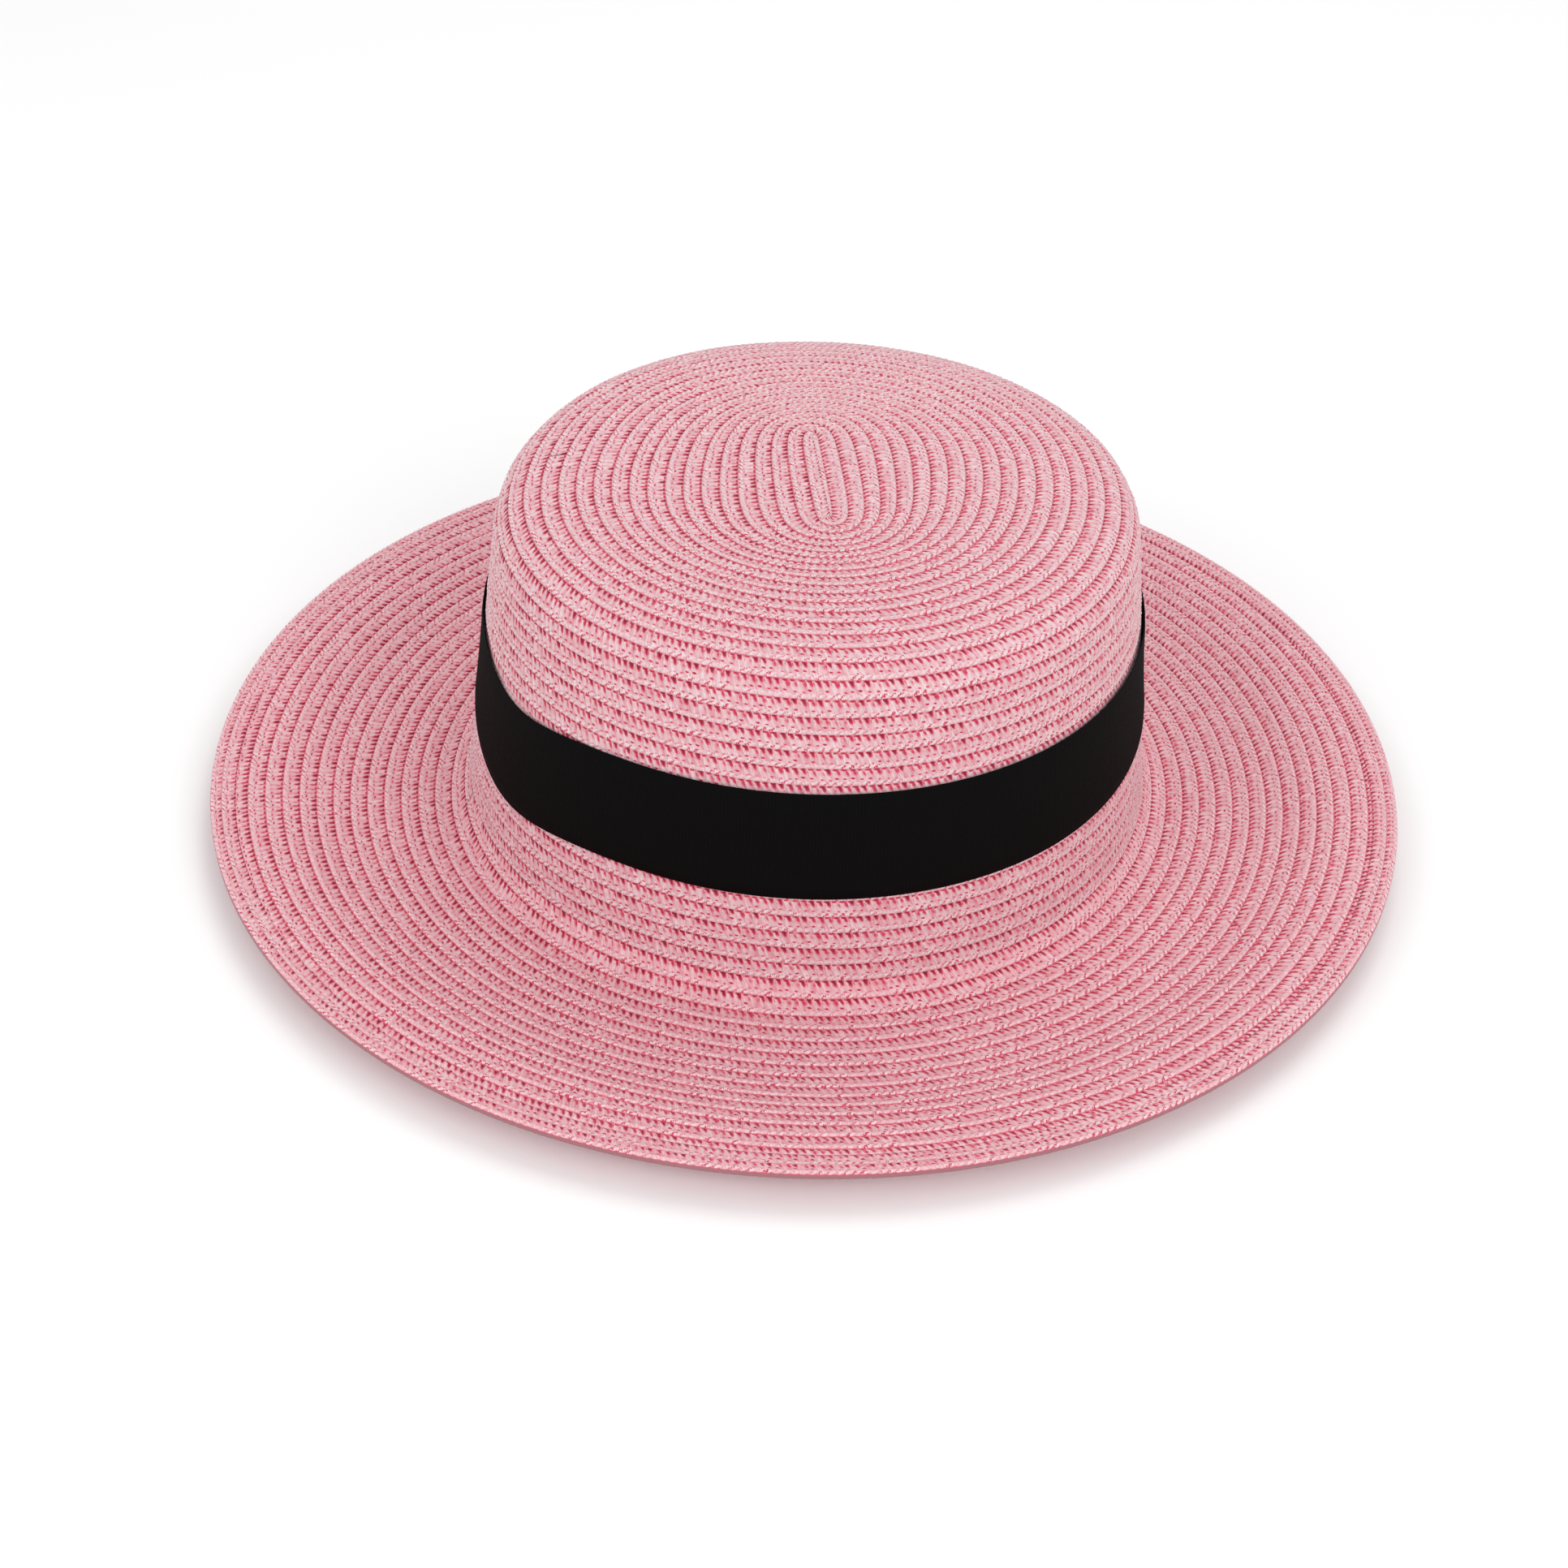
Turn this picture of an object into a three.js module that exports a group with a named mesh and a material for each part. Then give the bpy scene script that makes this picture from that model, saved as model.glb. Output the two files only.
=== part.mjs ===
// A straw boater hat: an oval crown and a wide brim sewn from rows of straw braid, with a plain ribbon band.
// Millimetres, +Z up. The hat rests on the underside of its brim at z = 0, with its front towards -Y.

import * as THREE from "three";
import { mergeVertices } from "three/addons/utils/BufferGeometryUtils.js";

// The crown: its half width at the wall's foot, and its height from the floor to the top of the tip
const crownHalfWidth = 88.6;
const crownHeight = 91.5;

// How much longer the hat's half length is than its half width, and how fast the rows turn from long to oval
const ovalReach = 7.1;
const ovalEase = 0.55;

// The first rows, sewn round a long straight start: how much further they reach, and how wide a patch they fill
const startReach = 14;
const startSpread = 32;

// The braid: thickness of the sewn straw, width of a row, and how far a row's outer edge stands on the next row
const strawWall = 1.8;
const rowPitch = 4.41;
const rowRelief = 0.5;

// The tip's soft roll, the tight shoulder, and the lean of the wall out of upright
const rollRadius = 71.5;
const rollSlope = degrees(15.7);
const shoulderRadius = 10.5;
const wallLean = degrees(6.1);

// The flare from the wall to the brim, the flat ring that the hat rests on, and the brim's gentle rise
const flareRadius = 8.9;
const restWidth = 7.3;
const brimWidth = 51;
const brimLift = 7.7;

// The ribbon: its width, thickness, and the height of its lower edge over the floor
const ribbonWidth = 28;
const ribbonThickness = 1;
const ribbonHeight = 30.2;

// The seam: slope of the flare where the crown ends, how far the brim goes under it, and the gap between pieces
const seamSlope = degrees(48);
const seamLap = 4.2;
const seamThickness = 1.4;
const fitGap = 0.3;

// Sides round the oval, and the longest step along a curved stretch of the profile
const ovalSides = 40;
const curveStep = 9;

const colours = { straw: 0xe3a0ac, ribbon: 0x161514 };

function degrees(angle) {
  return (angle * Math.PI) / 180;
}

// The profile of the hat's upper face: straight and round stretches, one after the other from the tip's middle.
// A slope is the angle below level, so the tip is at 0, an upright wall at a quarter turn, a rising brim below 0.
class Profile {
  constructor(height) {
    this.end = { run: 0, out: 0, up: height, slope: 0 };
    this.stretches = [];
  }

  line(length, slope) {
    const start = { ...this.end, slope };
    this.stretches.push({ start, length, bend: 0 });
    this.end = this.follow(this.stretches.at(-1), length);
    return this;
  }

  arc(radius, slope) {
    const start = this.end;
    const turn = slope - start.slope;
    this.stretches.push({ start, length: radius * Math.abs(turn), bend: Math.sign(turn) / radius });
    this.end = this.follow(this.stretches.at(-1), radius * Math.abs(turn));
    return this;
  }

  follow({ start, bend }, distance) {
    const slope = start.slope + bend * distance;
    const run = start.run + distance;
    if (bend === 0) {
      const out = start.out + distance * Math.cos(slope);
      return { run, out, up: start.up - distance * Math.sin(slope), slope };
    }
    const out = start.out + (Math.sin(slope) - Math.sin(start.slope)) / bend;
    return { run, out, up: start.up + (Math.cos(slope) - Math.cos(start.slope)) / bend, slope };
  }

  // The point at a run along the profile, moved off the face by a depth, which is outward where it is positive
  at(run, depth) {
    const found = this.stretches.find(({ start, length }) => run <= start.run + length);
    const stretch = found ?? this.stretches.at(-1);
    const { out, up, slope } = this.follow(stretch, run - stretch.start.run);
    return { out: Math.max(0, out + depth * Math.sin(slope)), up: up + depth * Math.cos(slope) };
  }

  // Runs from one end to the other, with a point at each bend and none further apart than a step on a curve
  steps(from, to) {
    const runs = [from];
    for (const { start, length, bend } of this.stretches) {
      const count = bend === 0 ? 1 : Math.ceil(length / curveStep);
      for (let i = 0; i < count; i++) {
        const run = start.run + (length * i) / count;
        if (run > from + fitGap && run < to - fitGap) runs.push(run);
      }
    }
    return [...runs, to];
  }
}

// The widths and heights of the round stretches leave the rest of the crown to the flat tip and the straight wall
const uprightSlope = Math.PI / 2 - wallLean;
const rollOut = rollRadius * Math.sin(rollSlope);
const rollDown = rollRadius * (1 - Math.cos(rollSlope));
const shoulderOut = shoulderRadius * (Math.sin(uprightSlope) - Math.sin(rollSlope));
const shoulderDown = shoulderRadius * (Math.cos(rollSlope) - Math.cos(uprightSlope));
const flareDown = flareRadius * (1 - Math.cos(uprightSlope));
const wallDown = crownHeight - strawWall - rollDown - shoulderDown - flareDown;
const wallOut = wallDown * Math.tan(wallLean);
const tipOut = crownHalfWidth - wallOut - shoulderOut - rollOut;

// The brim rises in two equal and opposite arcs
const brimSlope = 2 * Math.atan(brimLift / brimWidth);
const brimRadius = brimWidth / 2 / Math.sin(brimSlope);

const face = new Profile(crownHeight)
  .line(tipOut, 0)
  .arc(rollRadius, rollSlope)
  .arc(shoulderRadius, uprightSlope)
  .line(wallDown / Math.cos(wallLean), uprightSlope)
  .arc(flareRadius, 0)
  .line(restWidth, 0)
  .arc(brimRadius, -brimSlope)
  .arc(brimRadius, 0);

const [, , , wall, flare] = face.stretches;
const ribbonTopRun = wall.start.run + (wall.start.up - ribbonHeight - ribbonWidth) / Math.cos(wallLean);
const ribbonFootRun = ribbonTopRun + ribbonWidth / Math.cos(wallLean);
const seamRun = flare.start.run + flareRadius * (uprightSlope - seamSlope);
const rimRun = face.end.run;

// A place on the oval: a circle of the given half width, drawn out front to back by the oval's reach.
// Close to the middle the rows are two long straights joined by half circles, and further out they are full ovals.
function ovalPoint(angle, out, up) {
  const start = Math.exp(-((out / startSpread) ** 2));
  const ease = ovalEase * (0.2 + out / crownHalfWidth);
  const side = Math.sin(angle);
  const drawn = ((ovalReach + startReach * start) * Math.hypot(1, ease)) / Math.hypot(side, ease);
  return [out * Math.cos(angle), (out + drawn) * side, up];
}

// Carries a profile round the oval. A loop closes on itself, and an open one starts and ends on the middle line.
function ovalSweep(points, closed) {
  const positions = [];
  for (let side = 0; side < ovalSides; side++) {
    const angle = (side * 2 * Math.PI) / ovalSides;
    for (const { out, up } of points) positions.push(...ovalPoint(angle, out, up));
  }
  const count = points.length;
  const indices = [];
  for (let side = 0; side < ovalSides; side++) {
    const here = side * count;
    const next = ((side + 1) % ovalSides) * count;
    for (let i = 0; i < (closed ? count : count - 1); i++) {
      const j = (i + 1) % count;
      indices.push(here + i, here + j, next + j, here + i, next + j, next + i);
    }
  }
  const swept = new THREE.BufferGeometry();
  swept.setAttribute("position", new THREE.Float32BufferAttribute(positions, 3));
  swept.setIndex(indices);
  return withoutSlivers(mergeVertices(swept, 1e-3));
}

// Drops the triangles that have folded flat where a ring runs into the middle line
function withoutSlivers(geometry) {
  const index = geometry.index.array;
  const kept = [];
  for (let i = 0; i < index.length; i += 3) {
    const [a, b, c] = index.slice(i, i + 3);
    if (a !== b && b !== c && c !== a) kept.push(a, b, c);
  }
  geometry.setIndex(kept);
  geometry.computeVertexNormals();
  return geometry;
}

// The upper face as rows of braid: each row rises to its outer edge, then drops onto the next row
function rows(from, to) {
  const points = [face.at(from, 0)];
  for (let row = Math.ceil((from + fitGap) / rowPitch); row * rowPitch < to - fitGap; row++) {
    points.push(face.at(row * rowPitch, rowRelief), face.at(row * rowPitch, 0));
  }
  return [...points, face.at(to, rowRelief)];
}

// The face at one depth, without rows
function plain(from, to, depth) {
  return face.steps(from, to).map((run) => face.at(run, depth));
}

function crownGeometry() {
  const upper = [...rows(0, ribbonTopRun - fitGap), face.at(ribbonTopRun, 0), face.at(ribbonFootRun, 0)];
  const lower = rows(ribbonFootRun + fitGap, seamRun);
  const inside = plain(0, seamRun, -strawWall).reverse();
  return ovalSweep([...upper, ...lower, ...inside], false);
}

// The brim's first row goes under the crown's last one, and its outer face takes over where the crown ends
function brimGeometry() {
  const lapDepth = -(strawWall + fitGap);
  const lapStart = seamRun - seamLap;
  const lapEnd = seamRun + seamLap;
  const upper = rows(seamRun + fitGap, rimRun);
  const lapTop = plain(lapStart, seamRun + fitGap, lapDepth);
  const lapFoot = plain(lapStart, seamRun + fitGap, lapDepth - seamThickness).reverse();
  const inside = plain(lapEnd, rimRun, -strawWall).reverse();
  return ovalSweep([...lapTop, ...upper, ...inside, ...lapFoot], true);
}

function ribbonGeometry() {
  const outside = [ribbonTopRun, ribbonFootRun].map((run) => face.at(run, fitGap + ribbonThickness));
  const inside = [ribbonFootRun, ribbonTopRun].map((run) => face.at(run, fitGap));
  return ovalSweep([...outside, ...inside], true);
}

function piece(name, geometry, material) {
  const mesh = new THREE.Mesh(geometry, material);
  mesh.name = name;
  return mesh;
}

const straw = new THREE.MeshStandardMaterial({ color: colours.straw, roughness: 0.75, metalness: 0 });
const ribbon = new THREE.MeshStandardMaterial({ color: colours.ribbon, roughness: 0.6, metalness: 0 });

const boater = new THREE.Group();
boater.name = "straw_boater";
boater.add(
  piece("crown", crownGeometry(), straw),
  piece("brim", brimGeometry(), straw),
  piece("ribbon_band", ribbonGeometry(), ribbon),
);

export default boater;
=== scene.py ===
"""The looks of a straw boater hat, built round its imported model.

The straw is one long braid, sewn in a spiral from the middle of the tip to the rim of the brim. Its inner
edge is tucked under the row before, and its outer edge is a raised cord.
All lengths are metres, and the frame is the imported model's own.
"""

import logging
import math
from dataclasses import dataclass, field
from enum import Enum

import bpy
import numpy as np
from mathutils import Matrix, Vector

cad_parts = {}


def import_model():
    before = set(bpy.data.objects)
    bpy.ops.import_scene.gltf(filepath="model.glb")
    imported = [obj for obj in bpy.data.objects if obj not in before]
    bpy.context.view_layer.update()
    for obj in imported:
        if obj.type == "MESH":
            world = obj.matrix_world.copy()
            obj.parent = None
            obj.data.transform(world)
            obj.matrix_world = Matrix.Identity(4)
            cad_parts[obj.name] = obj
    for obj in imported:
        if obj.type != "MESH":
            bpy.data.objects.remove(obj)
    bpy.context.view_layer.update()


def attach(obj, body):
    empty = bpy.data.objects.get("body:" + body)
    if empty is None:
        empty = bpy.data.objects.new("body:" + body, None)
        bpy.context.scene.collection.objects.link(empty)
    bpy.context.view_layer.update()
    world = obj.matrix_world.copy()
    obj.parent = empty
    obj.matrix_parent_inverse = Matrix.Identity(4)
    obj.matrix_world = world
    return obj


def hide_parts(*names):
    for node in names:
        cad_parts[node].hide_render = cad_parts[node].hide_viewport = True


log = logging.getLogger("boater")

Socket = bpy.types.NodeSocket
Colour = tuple[float, float, float, float]

MM = 0.001
RING_SAMPLES = 2001


@dataclass(frozen=True)
class BoaterSizes:
    """The sizes of the hat, in metres and radians, as the solids have them.

    Heights are over the floor, and the crown's half width is at the wall's foot. The oval's reach is how
    much longer its half length is, and its ease is how fast the rows turn from long to oval, from a first
    share at the middle. The start is the patch of the first rows, which reach further, and which only this
    script eases rounder and turns. The pitch is the width that shows of a row, the rest is the flat ring
    that the hat stands on, and the seam's slope is that of the flare where the crown ends.
    """

    crown_half_width: float = 88.6 * MM
    crown_height: float = 91.5 * MM
    oval_reach: float = 7.1 * MM
    oval_ease: float = 0.55
    middle_ease: float = 0.2
    start_reach: float = 14 * MM
    start_spread: float = 32 * MM
    start_twist: float = math.radians(13)
    start_ease: float = 0.22
    straw_wall: float = 1.8 * MM
    row_pitch: float = 4.41 * MM
    roll_radius: float = 71.5 * MM
    roll_slope: float = math.radians(15.7)
    shoulder_radius: float = 10.5 * MM
    wall_lean: float = math.radians(6.1)
    flare_radius: float = 8.9 * MM
    rest_width: float = 7.3 * MM
    brim_width: float = 51 * MM
    brim_lift: float = 7.7 * MM
    ribbon_width: float = 28 * MM
    ribbon_height: float = 30.2 * MM
    seam_slope: float = math.radians(48)


class Profile:
    """The section of the hat's upper face: lines and arcs from the middle of the tip to the rim.

    A slope is the angle below level. Along a stretch that starts at a slope and bends at a steady rate,
    the way out is the integral of the slope's cosine and the way down that of its sine.
    """

    def __init__(self, height: float) -> None:
        """Starts the section level at the middle of the tip.

        Args:
            height: Height of the tip over the floor.
        """
        self.stretches: list[tuple[float, float, float, float, float]] = []
        self.end = (0.0, 0.0, height, 0.0)

    def line(self, length: float, slope: float) -> "Profile":
        """Adds a straight stretch.

        Args:
            length: Its length.
            slope: Its angle below level.

        Returns:
            The profile itself, for the next stretch.
        """
        run, out, up, _ = self.end
        self.stretches.append((run, out, up, slope, 0.0))
        self.end = (run + length, out + length * math.cos(slope), up - length * math.sin(slope), slope)
        return self

    def arc(self, radius: float, slope: float) -> "Profile":
        """Adds a round stretch that turns the face to a new slope.

        Args:
            radius: Radius of the arc.
            slope: Slope at its far end.

        Returns:
            The profile itself, for the next stretch.
        """
        run, out, up, start = self.end
        bend = math.copysign(1 / radius, slope - start)
        self.stretches.append((run, out, up, start, bend))
        out += (math.sin(slope) - math.sin(start)) / bend
        up += (math.cos(slope) - math.cos(start)) / bend
        self.end = (run + radius * abs(slope - start), out, up, slope)
        return self

    def at(self, run: np.ndarray, depth: np.ndarray) -> tuple[np.ndarray, np.ndarray]:
        """Finds points of the section, moved off the face along its normal.

        Args:
            run: Distances along the section.
            depth: Distances off the face, outward where positive.

        Returns:
            How far out and how high each point lies.
        """
        table = np.array(self.stretches)
        place = np.clip(np.searchsorted(table[:, 0], run, side="right") - 1, 0, len(table) - 1)
        start_run, start_out, start_up, start, bend = np.moveaxis(table[place], -1, 0)
        distance = run - start_run
        slope = start + bend * distance
        straight = bend == 0
        safe_bend = np.where(straight, 1.0, bend)
        round_out = (np.sin(slope) - np.sin(start)) / safe_bend
        round_up = (np.cos(slope) - np.cos(start)) / safe_bend
        out = start_out + np.where(straight, distance * np.cos(start), round_out)
        up = start_up + np.where(straight, -distance * np.sin(start), round_up)
        return np.maximum(out + depth * np.sin(slope), 0.0), up + depth * np.cos(slope)


class HatForm:
    """The whole hat's form: the profile carried round the oval."""

    def __init__(self, sizes: BoaterSizes) -> None:
        """Works out the profile from the sizes, as the solids do.

        Args:
            sizes: The hat's sizes.
        """
        self.sizes = sizes
        upright = math.pi / 2 - sizes.wall_lean
        roll_out = sizes.roll_radius * math.sin(sizes.roll_slope)
        roll_down = sizes.roll_radius * (1 - math.cos(sizes.roll_slope))
        shoulder_out = sizes.shoulder_radius * (math.sin(upright) - math.sin(sizes.roll_slope))
        shoulder_down = sizes.shoulder_radius * (math.cos(sizes.roll_slope) - math.cos(upright))
        flare_down = sizes.flare_radius * (1 - math.cos(upright))
        wall_down = sizes.crown_height - sizes.straw_wall - roll_down - shoulder_down - flare_down
        wall_out = wall_down * math.tan(sizes.wall_lean)
        tip_out = sizes.crown_half_width - wall_out - shoulder_out - roll_out
        brim_slope = 2 * math.atan(sizes.brim_lift / sizes.brim_width)
        brim_radius = sizes.brim_width / 2 / math.sin(brim_slope)
        profile = Profile(sizes.crown_height)
        profile.line(tip_out, 0)
        profile.arc(sizes.roll_radius, sizes.roll_slope).arc(sizes.shoulder_radius, upright)
        wall_start = profile.end
        profile.line(wall_down / math.cos(sizes.wall_lean), upright)
        flare_start = profile.end
        profile.arc(sizes.flare_radius, 0).line(sizes.rest_width, 0)
        profile.arc(brim_radius, -brim_slope).arc(brim_radius, 0)
        self.profile = profile
        self.rim_run = profile.end[0]
        self.seam_run = flare_start[0] + sizes.flare_radius * (upright - sizes.seam_slope)
        ribbon_top = sizes.ribbon_height + sizes.ribbon_width
        self.ribbon_top_run = wall_start[0] + (wall_start[2] - ribbon_top) / math.cos(sizes.wall_lean)
        self.ribbon_foot_run = self.ribbon_top_run + sizes.ribbon_width / math.cos(sizes.wall_lean)

    def place(self, angle: np.ndarray, run: np.ndarray, depth: np.ndarray) -> np.ndarray:
        """Places points on or off the hat's upper face.

        A circle of the section's half width is drawn out front to back by the oval's reach, times the sine
        of the angle over the hypotenuse of that sine and the ease. The ease grows with the way out, so the
        rows near the middle have straighter sides and those further out are full ovals. The first rows
        reach further, are eased rounder and are turned, and all three fade as a bell of the way out.

        Args:
            angle: Angle round the hat, from the +X side towards the back.
            run: Distance along the section from the middle of the tip.
            depth: Distance off the face.

        Returns:
            Points, with x, y and z on the last axis.
        """
        angle, run, depth = np.broadcast_arrays(angle, run, depth)
        out, up = self.profile.at(run, depth)
        sizes = self.sizes
        start = np.exp(-(out / sizes.start_spread) ** 2)
        growth = sizes.middle_ease + out / sizes.crown_half_width
        ease = sizes.oval_ease * growth + sizes.start_ease * start
        reach = sizes.oval_reach + sizes.start_reach * start
        side = np.sin(angle)
        drawn = reach * np.hypot(1, ease) / np.hypot(side, ease)
        across, along = out * np.cos(angle), (out + drawn) * side
        twist = sizes.start_twist * start
        x = across * np.cos(twist) - along * np.sin(twist)
        y = across * np.sin(twist) + along * np.cos(twist)
        return np.stack([x, y, up], axis=-1)

    def measure_ring(self, start: float, run: float, depth: float) -> tuple[np.ndarray, np.ndarray]:
        """Measures a ring round the hat.

        Args:
            start: Angle where it starts.
            run: Distance along the section.
            depth: Distance off the face.

        Returns:
            Angles from the start, and the ring's length up to each of them.
        """
        turn = np.linspace(0, math.tau, RING_SAMPLES)
        ring = self.place(start + turn, np.array(run), np.array(depth))
        steps = np.linalg.norm(np.diff(ring, axis=0), axis=1)
        return turn, np.concatenate([[0.0], np.cumsum(steps)])


class Facing(Enum):
    """Which way a grid's faces look, seen with its rows running round the hat and its columns outward."""

    OUT = 1
    IN = -1


def grid_mesh(name: str, points: np.ndarray, uv: np.ndarray, facing: Facing,
              closed: bool = False) -> bpy.types.Object:
    """Makes a smooth mesh object from a grid of points.

    Args:
        name: Name of the piece.
        points: Points by row round the hat and by column across, with x, y, z last.
        uv: Pattern coordinates of the same grid, with a row more than the points where it is closed.
        facing: Which way the faces look.
        closed: True where the last row joins the first.

    Returns:
        The object, at the origin.
    """
    rows, columns = points.shape[:2]
    index = np.arange(rows * columns).reshape(rows, columns)
    here = index if closed else index[:-1]
    there = np.roll(index, -1, axis=0) if closed else index[1:]
    corners = np.stack([here[:, :-1], here[:, 1:], there[:, 1:], there[:, :-1]], axis=-1).reshape(-1, 4)
    first = np.arange(len(here))[:, None] + np.zeros(columns - 1, dtype=int)
    across = np.zeros((len(here), 1), dtype=int) + np.arange(columns - 1)
    uv_rows = np.stack([first, first, first + 1, first + 1], axis=-1).reshape(-1, 4)
    uv_columns = np.stack([across, across + 1, across + 1, across], axis=-1).reshape(-1, 4)
    if facing is Facing.IN:
        corners, uv_rows, uv_columns = corners[:, ::-1], uv_rows[:, ::-1], uv_columns[:, ::-1]
    mesh = bpy.data.meshes.new(name)
    mesh.vertices.add(rows * columns)
    mesh.vertices.foreach_set("co", points.reshape(-1).astype(np.float32))
    mesh.loops.add(corners.size)
    mesh.loops.foreach_set("vertex_index", corners.reshape(-1).astype(np.int32))
    mesh.polygons.add(len(corners))
    mesh.polygons.foreach_set("loop_start", np.arange(0, corners.size, 4, dtype=np.int32))
    layer = mesh.uv_layers.new(name="Pattern")
    layer.data.foreach_set("uv", uv[uv_rows, uv_columns].reshape(-1).astype(np.float32))
    mesh.update(calc_edges=True)
    mesh.polygons.foreach_set("use_smooth", np.ones(len(corners), dtype=bool))
    piece = bpy.data.objects.new(name, mesh)
    bpy.context.scene.collection.objects.link(piece)
    return piece


class Nodes:
    """A material's node tree, with short calls for the nodes that the finishes use."""

    def __init__(self, name: str) -> None:
        """Makes a material with one Principled shader.

        Args:
            name: Name of the material.
        """
        self.material = bpy.data.materials.new(name)
        self.material.use_nodes = True
        self.tree = self.material.node_tree
        self.tree.nodes.clear()
        output = self.tree.nodes.new("ShaderNodeOutputMaterial")
        self.shader = self.tree.nodes.new("ShaderNodeBsdfPrincipled")
        self.link(self.shader.outputs["BSDF"], output.inputs["Surface"])

    def link(self, source: Socket, target: Socket) -> None:
        """Joins two sockets."""
        self.tree.links.new(source, target)

    def feed(self, target: Socket, value: object) -> None:
        """Sets a socket to a plain value, or joins it to another socket."""
        if isinstance(value, Socket):
            self.link(value, target)
        else:
            target.default_value = value

    def math(self, operation: str, *values: object, clamp: bool = False) -> Socket:
        """Adds a Math node.

        Args:
            operation: The node's operation.
            values: Its inputs, each a number or a socket.
            clamp: True to keep the result between 0 and 1.

        Returns:
            The result's socket.
        """
        node = self.tree.nodes.new("ShaderNodeMath")
        node.operation = operation
        node.use_clamp = clamp
        for socket, value in zip(node.inputs, values):
            self.feed(socket, value)
        return node.outputs[0]

    def bell(self, value: object, middle: float, width: float) -> Socket:
        """Makes a soft bump: e to the minus of the squared distance from the middle over the width."""
        offset = self.math("DIVIDE", self.math("SUBTRACT", value, middle), width)
        return self.math("POWER", math.e, self.math("MULTIPLY", self.math("POWER", offset, 2.0), -1.0))

    def step(self, value: object, low: float, high: float) -> Socket:
        """Makes a smooth rise from 0 at the low value to 1 at the high one."""
        node = self.tree.nodes.new("ShaderNodeMapRange")
        node.interpolation_type = "SMOOTHSTEP"
        self.feed(node.inputs["Value"], value)
        node.inputs["From Min"].default_value = low
        node.inputs["From Max"].default_value = high
        return node.outputs["Result"]

    def wave(self, turns: object) -> Socket:
        """Makes a cosine wave from 0 to 1, with its crests at whole numbers."""
        cosine = self.math("COSINE", self.math("MULTIPLY", turns, math.tau))
        return self.math("MULTIPLY_ADD", cosine, 0.5, 0.5)

    def pattern(self) -> tuple[Socket, Socket]:
        """Reads the piece's own pattern coordinates.

        Returns:
            The coordinate along the piece and the one across it.
        """
        uv = self.tree.nodes.new("ShaderNodeUVMap")
        uv.uv_map = "Pattern"
        split = self.tree.nodes.new("ShaderNodeSeparateXYZ")
        self.link(uv.outputs["UV"], split.inputs[0])
        return split.outputs["X"], split.outputs["Y"]

    def vector(self, x: object, y: object, z: object = 0.0) -> Socket:
        """Joins three values into a vector."""
        node = self.tree.nodes.new("ShaderNodeCombineXYZ")
        for socket, value in zip(node.inputs, (x, y, z)):
            self.feed(socket, value)
        return node.outputs[0]

    def noise(self, place: Socket, scale: float, detail: float = 2.0) -> Socket:
        """Adds smooth noise from 0 to 1.

        Args:
            place: Where to read it.
            scale: How many lumps it has in a unit.
            detail: How many finer layers it has.

        Returns:
            The noise's socket.
        """
        node = self.tree.nodes.new("ShaderNodeTexNoise")
        self.link(place, node.inputs["Vector"])
        node.inputs["Scale"].default_value = scale
        node.inputs["Detail"].default_value = detail
        return node.outputs["Fac"]

    def object_place(self) -> Socket:
        """Reads the point's place in the object's own metres."""
        return self.tree.nodes.new("ShaderNodeTexCoord").outputs["Object"]

    def speck(self, place: Socket) -> Socket:
        """Adds a random value from 0 to 1 for each place."""
        node = self.tree.nodes.new("ShaderNodeTexWhiteNoise")
        self.link(place, node.inputs["Vector"])
        return node.outputs["Value"]

    def mix(self, share: object, first: object, second: object) -> Socket:
        """Mixes two colours.

        Args:
            share: How much of the second colour shows.
            first: The first colour.
            second: The second colour.

        Returns:
            The mixed colour's socket.
        """
        node = self.tree.nodes.new("ShaderNodeMix")
        node.data_type = "RGBA"
        self.feed(node.inputs["Factor"], share)
        self.feed(node.inputs[6], first)
        self.feed(node.inputs[7], second)
        return node.outputs[2]

    def bump(self, height: Socket, distance: float, strength: float) -> None:
        """Raises the surface's shading by a height from 0 to 1 times a distance."""
        node = self.tree.nodes.new("ShaderNodeBump")
        node.inputs["Distance"].default_value = distance
        node.inputs["Strength"].default_value = strength
        self.link(height, node.inputs["Height"])
        self.link(node.outputs["Normal"], self.shader.inputs["Normal"])


def linear(red: int, green: int, blue: int) -> Colour:
    """Turns a colour in screen values from 0 to 255 into the renderer's linear values."""
    shares = [value / 255 for value in (red, green, blue)]
    curved = [share / 12.92 if share <= 0.04045 else ((share + 0.055) / 1.055) ** 2.4 for share in shares]
    return (*curved, 1.0)


@dataclass(frozen=True)
class Slit:
    """A kind of slit between strands, darkened with painted shade, one to each repeat of the braid, which
    is two stitches long.

    Attributes:
        phase: Where it lies along the repeat, from 0 to 1.
        middle: Where its middle lies, as a share across the row.
        width: Half width along the row, as a share of the repeat.
        length: Half length across the row, as a share of the row.
        depth: How dark its painted shade is.
    """

    phase: float
    middle: float
    width: float
    length: float
    depth: float


STRAW_SLIT_SHADES = (
    Slit(phase=0.0, middle=0.2, width=0.11, length=0.18, depth=1.35),
    Slit(phase=0.25, middle=0.28, width=0.045, length=0.12, depth=0.45),
    Slit(phase=0.5, middle=0.2, width=0.1, length=0.15, depth=1.2),
    Slit(phase=0.75, middle=0.28, width=0.045, length=0.11, depth=0.4),
    Slit(phase=0.34, middle=0.6, width=0.12, length=0.055, depth=1.05),
    Slit(phase=0.84, middle=0.63, width=0.11, length=0.05, depth=0.85),
)


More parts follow.
